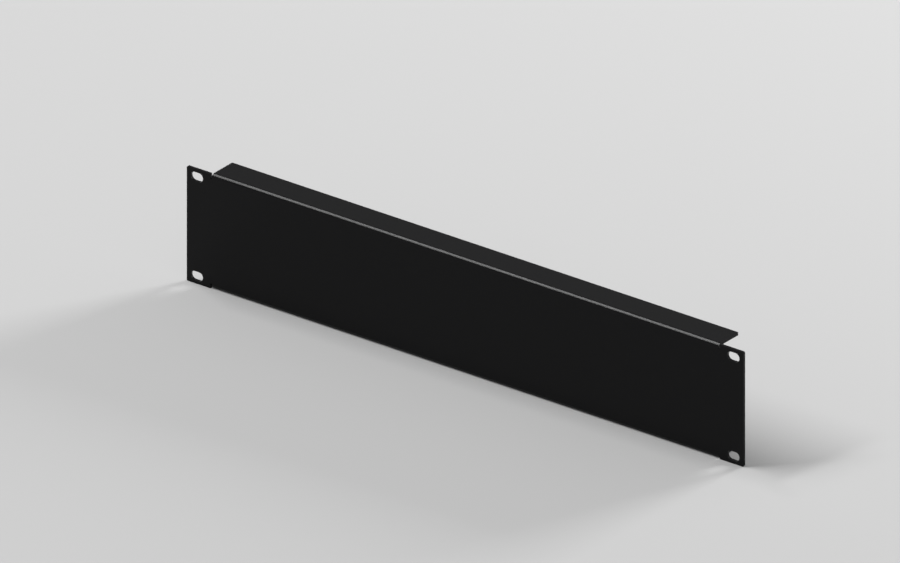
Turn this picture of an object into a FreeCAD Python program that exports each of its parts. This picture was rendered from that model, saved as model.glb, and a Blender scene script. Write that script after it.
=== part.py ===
"""A 19-inch rack blanking panel, two units high, folded from one steel sheet.

The plate carries an ear at each end, and each ear has two oblong screw slots. Between the ears the
sheet is folded back along the top and the bottom into two stiffening flanges, flush with the ears'
edges. A narrow relief notch with a rounded end parts each flange from the ear beside it, so that the
fold doesn't tear the sheet.

Frame: X runs along the panel, Y into the rack and Z up. The origin is the centre of the slot pattern,
on the rear face, which seats on the rack's rails, so the front face lies one sheet thickness before it.
Lengths are millimetres.
"""

import FreeCAD
import Part

import math
import os

import Sketcher

NODE = "blanking_panel"
PARTS_FOLDER = "parts"

# The driving dimensions: alias, value and what it measures.
DIMENSIONS = (
    ("rack_units", 2, "height of the panel, in rack units"),
    ("unit_pitch", 44.45, "height of one rack unit"),
    ("stacking_gap", 0.8, "what the panel lacks of its full rack units in height"),
    ("panel_width", 482.6, "overall, over both ears"),
    ("sheet_thickness", 2.0, "of the steel"),
    ("ear_width", 20.5, "panel end to relief notch"),
    ("ear_corner", 1.0, "radius of the ears' outer corners"),
    ("slot_end_inset", 8.75, "panel end to slot centre"),
    ("slot_unit_inset", 6.35, "edge of the outermost rack unit to slot centre"),
    ("slot_width", 6.8, "across a slot, and the diameter of its ends"),
    ("slot_travel", 3.7, "between the centres of a slot's two ends"),
    ("bend_radius", 1.0, "inside radius of the folds"),
    ("flange_depth", 23.3, "front face to the flanges' rear edge"),
    ("flange_corner", 1.0, "radius of the flanges' rear corners"),
    ("relief_width", 1.2, "notch between a flange and the ear beside it"),
    ("relief_overrun", 0.5, "from the start of the fold to the centre of the notch's rounded end"),
)

# Sizes that follow from the driving dimensions, written as expressions.
PANEL_HEIGHT = "(dims.rack_units * dims.unit_pitch - dims.stacking_gap)"
SLOT_SPACING_ACROSS = "(dims.panel_width - 2 * dims.slot_end_inset)"
SLOT_SPACING_UP = "(dims.rack_units * dims.unit_pitch - 2 * dims.slot_unit_inset)"
FLAT_HEIGHT = f"({PANEL_HEIGHT} - 2 * (dims.sheet_thickness + dims.bend_radius))"
GAP_BETWEEN_EARS = "(dims.panel_width - 2 * dims.ear_width)"
FLANGE_LENGTH = f"({GAP_BETWEEN_EARS} - 2 * dims.relief_width)"
FLANGE_REAR = "(dims.flange_depth - dims.sheet_thickness)"
NOTCH_SPACING = f"({GAP_BETWEEN_EARS} - dims.relief_width)"
NOTCH_TRAVEL = f"({PANEL_HEIGHT} - {FLAT_HEIGHT} + 2 * dims.relief_overrun)"

# The points of an edge and the axes of a sketch, as constraints number them.
START, END, CENTRE = range(1, 4)
HORIZONTAL_AXIS, VERTICAL_AXIS = range(-1, -3, -1)
ORIGIN = (HORIZONTAL_AXIS, START)

QUARTER_TURN = math.pi / 2
CORNERS = 4             # of the plate, and of the two flanges together
SAME_PLACE = 1e-3       # distance within which two points count as one
NO_VOLUME = 1e-6        # what a cut removes where it misses the sheet


def driving_sheet(doc):
    """The spreadsheet of the driving dimensions, one aliased cell for each."""
    dims = doc.addObject("Spreadsheet::Sheet", "dims")
    for row, (alias, value, meaning) in enumerate(DIMENSIONS, start=1):
        dims.set(f"A{row}", alias)
        dims.set(f"B{row}", str(value))
        dims.set(f"C{row}", meaning)
        dims.setAlias(f"B{row}", alias)
    doc.recompute()


def origin_feature(body, role):
    """One of the planes and axes of the body's own origin."""
    return next(f for f in body.Origin.OriginFeatures if f.Role == role)


def new_sketch(body, name, plane):
    """An empty sketch on a plane of the body's origin."""
    sketch = body.newObject("Sketcher::SketchObject", name)
    sketch.AttachmentSupport = (origin_feature(body, plane), [""])
    sketch.MapMode = "FlatFace"
    return sketch


def line(sketch, start, end):
    """A straight edge between two points of the sketch."""
    return sketch.addGeometry(Part.LineSegment(FreeCAD.Vector(*start), FreeCAD.Vector(*end)), False)


def arc(sketch, centre, radius, from_angle, to_angle):
    """A round edge, counter-clockwise."""
    circle = Part.Circle(FreeCAD.Vector(*centre), FreeCAD.Vector(0, 0, 1), radius)
    return sketch.addGeometry(Part.ArcOfCircle(circle, from_angle, to_angle), False)


def constrain(sketch, kind, *what):
    """A geometric constraint."""
    return sketch.addConstraint(Sketcher.Constraint(kind, *what))


def dimension(sketch, name, kind, size, *what):
    """A dimension bound to a size expression."""
    index = constrain(sketch, kind, *what, sketch.evalExpression(size))
    sketch.renameConstraint(index, name)
    sketch.setExpression(f"Constraints.{name}", size)


def centre_point(sketch, across, up):
    """A construction point at the given sizes from the origin, where None puts it on that axis."""
    place = [sketch.evalExpression(size) if size else 0 for size in (across, up)]
    point = sketch.addGeometry(Part.Point(FreeCAD.Vector(*place)), True)
    for size, kind, axis in ((across, "DistanceX", VERTICAL_AXIS), (up, "DistanceY", HORIZONTAL_AXIS)):
        if size:
            dimension(sketch, "centre_" + kind[-1].lower(), kind, size, *ORIGIN, point, START)
        else:
            constrain(sketch, "PointOnObject", point, START, axis)
    return point, place


def rectangle(sketch, width, height, across=None, up=None):
    """An upright rectangle, set out from its centre."""
    centre, (x, y) = centre_point(sketch, across, up)
    half_width = sketch.evalExpression(width) / 2
    half_height = sketch.evalExpression(height) / 2
    corners = [
        (x - half_width, y - half_height),
        (x + half_width, y - half_height),
        (x + half_width, y + half_height),
        (x - half_width, y + half_height),
    ]
    edges = [line(sketch, start, end) for start, end in zip(corners, corners[1:] + corners[:1])]
    for edge, following in zip(edges, edges[1:] + edges[:1]):
        constrain(sketch, "Coincident", edge, END, following, START)
    for edge, direction in zip(edges, ("Horizontal", "Vertical", "Horizontal", "Vertical")):
        constrain(sketch, direction, edge)
    bottom, right, top, _ = edges
    constrain(sketch, "Symmetric", bottom, START, top, START, centre, START)
    dimension(sketch, "width", "DistanceX", width, bottom, START, bottom, END)
    dimension(sketch, "height", "DistanceY", height, right, START, right, END)


def oblong(sketch, width, travel, across, up, upright):
    """A slot with round ends, set out from its centre. Its travel lies between the centres of the ends."""
    centre, place = centre_point(sketch, across, up)
    middle = FreeCAD.Vector(*place)
    radius = sketch.evalExpression(width) / 2
    reach = sketch.evalExpression(travel) / 2
    turn = QUARTER_TURN if upright else 0
    along = FreeCAD.Vector(math.cos(turn), math.sin(turn))
    aside = FreeCAD.Vector(-math.sin(turn), math.cos(turn))
    far, near, offset = middle + along * reach, middle - along * reach, aside * radius

    far_end = arc(sketch, far, radius, turn - QUARTER_TURN, turn + QUARTER_TURN)
    near_end = arc(sketch, near, radius, turn + QUARTER_TURN, turn + 3 * QUARTER_TURN)
    one_side = line(sketch, far + offset, near + offset)
    other_side = line(sketch, near - offset, far - offset)
    loop = (far_end, one_side, near_end, other_side)
    for edge, following in zip(loop, loop[1:] + loop[:1]):
        constrain(sketch, "Tangent", edge, END, following, START)
    constrain(sketch, "Equal", far_end, near_end)
    constrain(sketch, "Vertical" if upright else "Horizontal", one_side)
    constrain(sketch, "Symmetric", far_end, CENTRE, near_end, CENTRE, centre, START)
    dimension(sketch, "width", "Diameter", width, far_end)
    travel_kind = "DistanceY" if upright else "DistanceX"
    dimension(sketch, "travel", travel_kind, travel, near_end, CENTRE, far_end, CENTRE)


def fold_and_flange(sketch):
    """The section of the upper fold and flange, with Y across the sketch and Z up it."""
    inner = sketch.evalExpression("dims.bend_radius")
    outer = sketch.evalExpression("dims.bend_radius + dims.sheet_thickness")
    rear = sketch.evalExpression(FLANGE_REAR)
    fold_start = sketch.evalExpression(f"{FLAT_HEIGHT} / 2")
    fold_centre = (inner, fold_start)

    root = line(sketch, (0, fold_start), (inner - outer, fold_start))
    outer_fold = arc(sketch, fold_centre, outer, QUARTER_TURN, 2 * QUARTER_TURN)
    outer_face = line(sketch, (inner, fold_start + outer), (rear, fold_start + outer))
    rear_edge = line(sketch, (rear, fold_start + outer), (rear, fold_start + inner))
    inner_face = line(sketch, (rear, fold_start + inner), (inner, fold_start + inner))
    inner_fold = arc(sketch, fold_centre, inner, QUARTER_TURN, 2 * QUARTER_TURN)

    constrain(sketch, "Coincident", root, END, outer_fold, END)
    constrain(sketch, "Tangent", outer_fold, START, outer_face, START)
    constrain(sketch, "Coincident", outer_face, END, rear_edge, START)
    constrain(sketch, "Coincident", rear_edge, END, inner_face, START)
    constrain(sketch, "Tangent", inner_face, END, inner_fold, START)
    constrain(sketch, "Coincident", inner_fold, END, root, START)
    constrain(sketch, "Coincident", outer_fold, CENTRE, inner_fold, CENTRE)
    constrain(sketch, "PointOnObject", root, START, VERTICAL_AXIS)
    constrain(sketch, "Horizontal", inner_fold, CENTRE, root, START)
    for edge in (root, outer_face, inner_face):
        constrain(sketch, "Horizontal", edge)
    constrain(sketch, "Vertical", rear_edge)
    dimension(sketch, "bend_radius", "Radius", "dims.bend_radius", inner_fold)
    dimension(sketch, "thickness", "DistanceX", "dims.sheet_thickness", root, END, root, START)
    dimension(sketch, "fold_start", "DistanceY", f"{FLAT_HEIGHT} / 2", *ORIGIN, root, START)
    dimension(sketch, "rear", "DistanceX", FLANGE_REAR, *ORIGIN, rear_edge, START)


def pad(body, sketch, name, length, side="One side"):
    """A sketch made solid."""
    feature = body.newObject("PartDesign::Pad", name)
    feature.Profile = sketch
    feature.SideType = side
    feature.setExpression("Length", length)
    body.Document.recompute()
    return feature


def cut(body, sketch, name):
    """A sketch on the plate's rear face cut forward through the plate."""
    feature = body.newObject("PartDesign::Pocket", name)
    feature.Profile = sketch
    feature.Type = "ThroughAll"
    feature.Reversed = True
    body.Document.recompute()
    return feature


def mirror_down(body, feature, name):
    """The feature's copy on the other side of the panel's middle plane."""
    mirror = body.newObject("PartDesign::Mirrored", name)
    mirror.Originals = [feature]
    mirror.MirrorPlane = (origin_feature(body, "XY_Plane"), [""])
    body.Tip = mirror
    body.Document.recompute()


def repeat_at_corners(body, feature, name, across, up):
    """Copies of a feature at the upper right corner of the panel for the other three corners."""
    pattern = body.newObject("PartDesign::LinearPattern", name)
    pattern.Originals = [feature]
    pattern.Direction = (origin_feature(body, "X_Axis"), [""])
    pattern.Reversed = True
    pattern.Occurrences = 2
    pattern.setExpression("Length", across)
    pattern.Direction2 = (origin_feature(body, "Z_Axis"), [""])
    pattern.Reversed2 = True
    pattern.Occurrences2 = 2
    pattern.setExpression("Length2", up)
    body.Tip = pattern
    body.Document.recompute()


def edges_at(shape, **places):
    """Names of the edges that lie wholly at the given coordinates, each taken with either sign."""
    names = []
    for number, edge in enumerate(shape.Edges, start=1):
        points = [vertex.Point for vertex in edge.Vertexes] + [edge.CenterOfMass]
        offsets = [abs(getattr(point, axis)) - place for point in points for axis, place in places.items()]
        if max(map(abs, offsets)) < SAME_PLACE:
            names.append(f"Edge{number}")
    return names


def round_corners(body, name, radius, **places):
    """The four corner edges at the given places, rounded."""
    base = body.Tip
    corner = {axis: body.evalExpression(size) for axis, size in places.items()}
    names = edges_at(base.Shape, **corner)
    if len(names) != CORNERS:
        raise RuntimeError(f"{name}: {len(names)} edges found where there should be {CORNERS}")
    fillet = body.newObject("PartDesign::Fillet", name)
    fillet.Base = (base, names)
    fillet.setExpression("Radius", radius)
    body.Tip = fillet
    body.Document.recompute()


def folded_panel(doc):
    """The whole panel: the flat plate, its cut-outs, and the two folded flanges."""
    body = doc.addObject("PartDesign::Body", "panel")
    body.Label = NODE
    body.Placement = FreeCAD.Placement()

    plate_outline = new_sketch(body, "plate_outline", "XZ_Plane")
    rectangle(plate_outline, "dims.panel_width", PANEL_HEIGHT)
    pad(body, plate_outline, "plate", "dims.sheet_thickness")

    # Between the ears the plate ends where the folds start.
    edge_outline = new_sketch(body, "edge_outline", "XZ_Plane")
    rectangle(edge_outline, GAP_BETWEEN_EARS, f"{PANEL_HEIGHT} - {FLAT_HEIGHT}", up=f"{PANEL_HEIGHT} / 2")
    mirror_down(body, cut(body, edge_outline, "upper_edge"), "both_edges")

    notch_outline = new_sketch(body, "notch_outline", "XZ_Plane")
    notch_place = (f"{NOTCH_SPACING} / 2", f"{PANEL_HEIGHT} / 2")
    oblong(notch_outline, "dims.relief_width", NOTCH_TRAVEL, *notch_place, upright=True)
    notch = cut(body, notch_outline, "relief_notch")
    repeat_at_corners(body, notch, "relief_notches", NOTCH_SPACING, PANEL_HEIGHT)

    slot_outline = new_sketch(body, "slot_outline", "XZ_Plane")
    slot_place = (f"{SLOT_SPACING_ACROSS} / 2", f"{SLOT_SPACING_UP} / 2")
    oblong(slot_outline, "dims.slot_width", "dims.slot_travel", *slot_place, upright=False)
    slot = cut(body, slot_outline, "screw_slot")
    repeat_at_corners(body, slot, "screw_slots", SLOT_SPACING_ACROSS, SLOT_SPACING_UP)

    flange_section = new_sketch(body, "flange_section", "YZ_Plane")
    fold_and_flange(flange_section)
    flange = pad(body, flange_section, "upper_flange", FLANGE_LENGTH, side="Symmetric")
    mirror_down(body, flange, "both_flanges")

    ear_place = {"x": "dims.panel_width / 2", "z": f"{PANEL_HEIGHT} / 2"}
    round_corners(body, "ear_corners", "dims.ear_corner", **ear_place)
    flange_place = {"x": f"{FLANGE_LENGTH} / 2", "y": FLANGE_REAR}
    round_corners(body, "flange_corners", "dims.flange_corner", **flange_place)
    return body


def check(doc, body):
    """Stop if a feature failed, a cut missed the sheet or the panel isn't one sound solid."""
    for item in doc.Objects:
        if {"Invalid", "Error"} & set(item.State):
            raise RuntimeError(f"{item.Name} failed: {item.State}")
        if item.TypeId == "PartDesign::Pocket":
            removed = item.BaseFeature.Shape.Volume - item.Shape.Volume
            if removed < NO_VOLUME:
                raise RuntimeError(f"{item.Name} cuts nothing")
        if item.TypeId == "Sketcher::SketchObject" and not item.FullyConstrained:
            raise RuntimeError(f"{item.Name} has free dimensions")
    if body.Shape.isNull() or not body.Shape.isValid() or len(body.Shape.Solids) != 1:
        raise RuntimeError(f"{body.Label} isn't one valid solid")


def main():
    doc = FreeCAD.newDocument("rack_blanking_panel")
    driving_sheet(doc)
    body = folded_panel(doc)
    doc.recompute()
    check(doc, body)
    os.makedirs(PARTS_FOLDER, exist_ok=True)
    body.Shape.exportStep(f"{PARTS_FOLDER}/{body.Label}.step")
    box = body.Shape.BoundBox
    size = f"{box.XLength:.2f} x {box.YLength:.2f} x {box.ZLength:.2f} mm"
    print(f"{body.Label}: {size}, {body.Shape.Volume:.1f} mm3")


main()
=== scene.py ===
"""The looks of a rack blanking panel: a folded steel sheet with a fine black powder coat.

The panel stands on its lower edge on a plain pale floor. The camera draws it in parallel, as the
photograph very nearly does. Everything is in metres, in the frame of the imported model: X along the
panel, Y into the rack and Z up.
"""

import math

import bpy
from mathutils import Matrix, Vector


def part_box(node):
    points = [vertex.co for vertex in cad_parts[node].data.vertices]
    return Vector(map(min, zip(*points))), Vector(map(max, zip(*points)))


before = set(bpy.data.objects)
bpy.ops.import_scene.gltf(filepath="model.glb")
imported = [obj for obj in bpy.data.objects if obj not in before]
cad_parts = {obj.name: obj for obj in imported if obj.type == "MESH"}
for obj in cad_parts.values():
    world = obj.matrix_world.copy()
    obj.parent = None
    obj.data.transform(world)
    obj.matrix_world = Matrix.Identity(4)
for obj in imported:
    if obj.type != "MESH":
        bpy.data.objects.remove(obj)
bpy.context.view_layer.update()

PANEL = "blanking_panel"
PANEL_AXIS = Vector((1, 0, 0))
COAT_SLOT = "powder_coated_steel"

# The photograph's frame, and where it shows the panel's origin.
IMAGE_WIDTH = 900
IMAGE_HEIGHT = 563
PIXELS_PER_METRE = 1449.1
ORIGIN_PIXEL = (466.84, 315.47)
VIEW_AZIMUTH = math.radians(37.25)
VIEW_ELEVATION = math.radians(26.17)
CAMERA_DISTANCE = 3.0

WHITE = (1.0, 1.0, 1.0, 1.0)
FLOOR_SIZE = 40.0
FLOOR_COLOUR = (0.50, 0.50, 0.50, 1.0)
FLOOR_ROUGHNESS = 1.0
FLOOR_SPECULAR = 0.0

# The surround's level at the horizon and overhead, and how high the horizon's glow reaches.
HORIZON_LEVEL = 0.80
SKY_LEVEL = 0.30
GLOW_HEIGHT = 0.38

# The key lamp stands where the upper fold mirrors it to the camera, this far round from the front face.
GLINT_ANGLE = math.radians(53.7)
KEY_DISTANCE = 9.0
KEY_SIZE = (0.8, 8.0)
KEY_LEVEL = 42.0

# The second lamp lights the panel's rear side. The slots' walls don't mirror it to the camera from there.
BACK_WAY = (0.27, 0.92, 0.28)
BACK_DISTANCE = 3.0
BACK_SIZE = (1.0, 1.0)
BACK_LEVEL = 26.0

# The coat, with lengths in metres. It reflects little, so that it stays black above the pale floor.
COAT_DARK = (0.0022, 0.0022, 0.0024, 1.0)
COAT_LIGHT = (0.0052, 0.0052, 0.0056, 1.0)
COAT_SPECULAR = 0.115
COAT_ROUGHNESS = (0.23, 0.28)
GRAIN_LENGTH = 0.0005
GRAIN_DEPTH = 0.000007
GRAIN_DETAIL = 2
PEEL_LENGTH = 0.0030
PEEL_DEPTH = 0.000006
PEEL_DETAIL = 1
CLOUD_LENGTH = 0.040
CLOUD_DETAIL = 3


def view_directions():
    """The directions from the panel to the viewer, and to the right and up in the viewer's picture."""
    back = Vector((
        math.sin(VIEW_AZIMUTH) * math.cos(VIEW_ELEVATION),
        -math.cos(VIEW_AZIMUTH) * math.cos(VIEW_ELEVATION),
        math.sin(VIEW_ELEVATION),
    ))
    right = Vector((math.cos(VIEW_AZIMUTH), math.sin(VIEW_AZIMUTH), 0))
    return back, right, back.cross(right)


def add_camera():
    """The camera at the photograph's angle, with the panel where the photograph shows it."""
    back, right, up = view_directions()
    origin_x, origin_y = ORIGIN_PIXEL
    across = (IMAGE_WIDTH / 2 - origin_x) / PIXELS_PER_METRE
    upward = (origin_y - IMAGE_HEIGHT / 2) / PIXELS_PER_METRE
    data = bpy.data.cameras.new("camera")
    data.type = "ORTHO"
    data.ortho_scale = IMAGE_WIDTH / PIXELS_PER_METRE
    camera = bpy.data.objects.new("camera", data)
    bpy.context.scene.collection.objects.link(camera)
    camera.location = right * across + up * upward + back * CAMERA_DISTANCE
    camera.rotation_mode = "QUATERNION"
    camera.rotation_quaternion = back.to_track_quat("Z", "Y")
    bpy.context.scene.camera = camera


def glint_way(angle):
    """The way to what the upper fold mirrors to the viewer, at this angle round from the front face."""
    back, _, _ = view_directions()
    normal = Vector((0, -math.cos(angle), math.sin(angle)))
    return 2 * back.dot(normal) * normal - back


def add_softbox(name, way, distance, size, level):
    """A rectangular lamp that faces the panel, sized along and across it. Its level is its radiance."""
    length, width = size
    data = bpy.data.lights.new(name, "AREA")
    data.shape = "RECTANGLE"
    data.size, data.size_y = length, width
    data.energy = level * math.pi * length * width
    lamp = bpy.data.objects.new(name, data)
    bpy.context.scene.collection.objects.link(lamp)
    towards = Vector(way).normalized()
    along = (PANEL_AXIS - towards * towards.dot(PANEL_AXIS)).normalized()
    turn = Matrix((along, towards.cross(along), towards)).transposed()
    lamp.location = towards * distance
    lamp.rotation_mode = "QUATERNION"
    lamp.rotation_quaternion = turn.to_quaternion()


def add_surround():
    """A plain sky that is pale at the horizon and dimmer overhead."""
    world = bpy.data.worlds.new("surround")
    bpy.context.scene.world = world
    world.use_nodes = True
    tree = world.node_tree
    background = tree.nodes["Background"]
    background.inputs["Color"].default_value = WHITE
    coordinates = tree.nodes.new("ShaderNodeTexCoord")
    direction = tree.nodes.new("ShaderNodeSeparateXYZ")
    glow = tree.nodes.new("ShaderNodeMapRange")
    glow.interpolation_type = "SMOOTHSTEP"
    glow.inputs["From Max"].default_value = GLOW_HEIGHT
    glow.inputs["To Min"].default_value = HORIZON_LEVEL
    glow.inputs["To Max"].default_value = SKY_LEVEL
    tree.links.new(coordinates.outputs["Generated"], direction.inputs["Vector"])
    tree.links.new(direction.outputs["Z"], glow.inputs["Value"])
    tree.links.new(glow.outputs["Result"], background.inputs["Strength"])


def new_material(name):
    """A material with its nodes and its shader."""
    material = bpy.data.materials.new(name)
    material.use_nodes = True
    return material, material.node_tree, material.node_tree.nodes["Principled BSDF"]


def add_floor():
    """A plain pale floor that the panel's lower edge stands on."""
    low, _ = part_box(PANEL)
    half = FLOOR_SIZE / 2
    corners = [(-half, -half, low.z), (half, -half, low.z), (half, half, low.z), (-half, half, low.z)]
    mesh = bpy.data.meshes.new("floor")
    mesh.from_pydata(corners, [], [range(len(corners))])
    floor = bpy.data.objects.new("floor", mesh)
    bpy.context.scene.collection.objects.link(floor)
    material, _, shader = new_material("floor")
    shader.inputs["Base Color"].default_value = FLOOR_COLOUR
    shader.inputs["Roughness"].default_value = FLOOR_ROUGHNESS
    shader.inputs["Specular IOR Level"].default_value = FLOOR_SPECULAR
    mesh.materials.append(material)


def add_noise(tree, coordinates, length, detail):
    """Noise whose features have about the given length."""
    noise = tree.nodes.new("ShaderNodeTexNoise")
    noise.inputs["Scale"].default_value = 1 / length
    noise.inputs["Detail"].default_value = detail
    tree.links.new(coordinates.outputs["Object"], noise.inputs["Vector"])
    return noise.outputs["Fac"]


def add_bump(tree, height, depth, normal=None):
    """Bump of the given depth, over another bump's normal where there is one."""
    bump = tree.nodes.new("ShaderNodeBump")
    bump.inputs["Distance"].default_value = depth
    tree.links.new(height, bump.inputs["Height"])
    if normal:
        tree.links.new(normal, bump.inputs["Normal"])
    return bump.outputs["Normal"]


def powder_coat():
    """Black powder coat: a fine grain over a faint orange peel, with slow clouds in its gloss."""
    material, tree, shader = new_material(COAT_SLOT)
    coordinates = tree.nodes.new("ShaderNodeTexCoord")
    grain = add_noise(tree, coordinates, GRAIN_LENGTH, GRAIN_DETAIL)
    peel = add_noise(tree, coordinates, PEEL_LENGTH, PEEL_DETAIL)
    clouds = add_noise(tree, coordinates, CLOUD_LENGTH, CLOUD_DETAIL)

    colour = tree.nodes.new("ShaderNodeMix")
    colour.data_type = "RGBA"
    colour.inputs["A"].default_value = COAT_DARK
    colour.inputs["B"].default_value = COAT_LIGHT
    tree.links.new(grain, colour.inputs["Factor"])
    tree.links.new(colour.outputs["Result"], shader.inputs["Base Color"])

    glossiest, roughest = COAT_ROUGHNESS
    roughness = tree.nodes.new("ShaderNodeMapRange")
    roughness.inputs["To Min"].default_value = glossiest
    roughness.inputs["To Max"].default_value = roughest
    tree.links.new(clouds, roughness.inputs["Value"])
    tree.links.new(roughness.outputs["Result"], shader.inputs["Roughness"])

    normal = add_bump(tree, grain, GRAIN_DEPTH, add_bump(tree, peel, PEEL_DEPTH))
    tree.links.new(normal, shader.inputs["Normal"])
    shader.inputs["Specular IOR Level"].default_value = COAT_SPECULAR
    return material


def dress_panel():
    """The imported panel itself, with its coat."""
    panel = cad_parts[PANEL]
    panel.data.materials.clear()
    panel.data.materials.append(powder_coat())


def main():
    bpy.context.scene.view_settings.view_transform = "Standard"
    dress_panel()
    add_floor()
    add_softbox("key", glint_way(GLINT_ANGLE), KEY_DISTANCE, KEY_SIZE, KEY_LEVEL)
    add_softbox("back", BACK_WAY, BACK_DISTANCE, BACK_SIZE, BACK_LEVEL)
    add_surround()
    add_camera()


main()
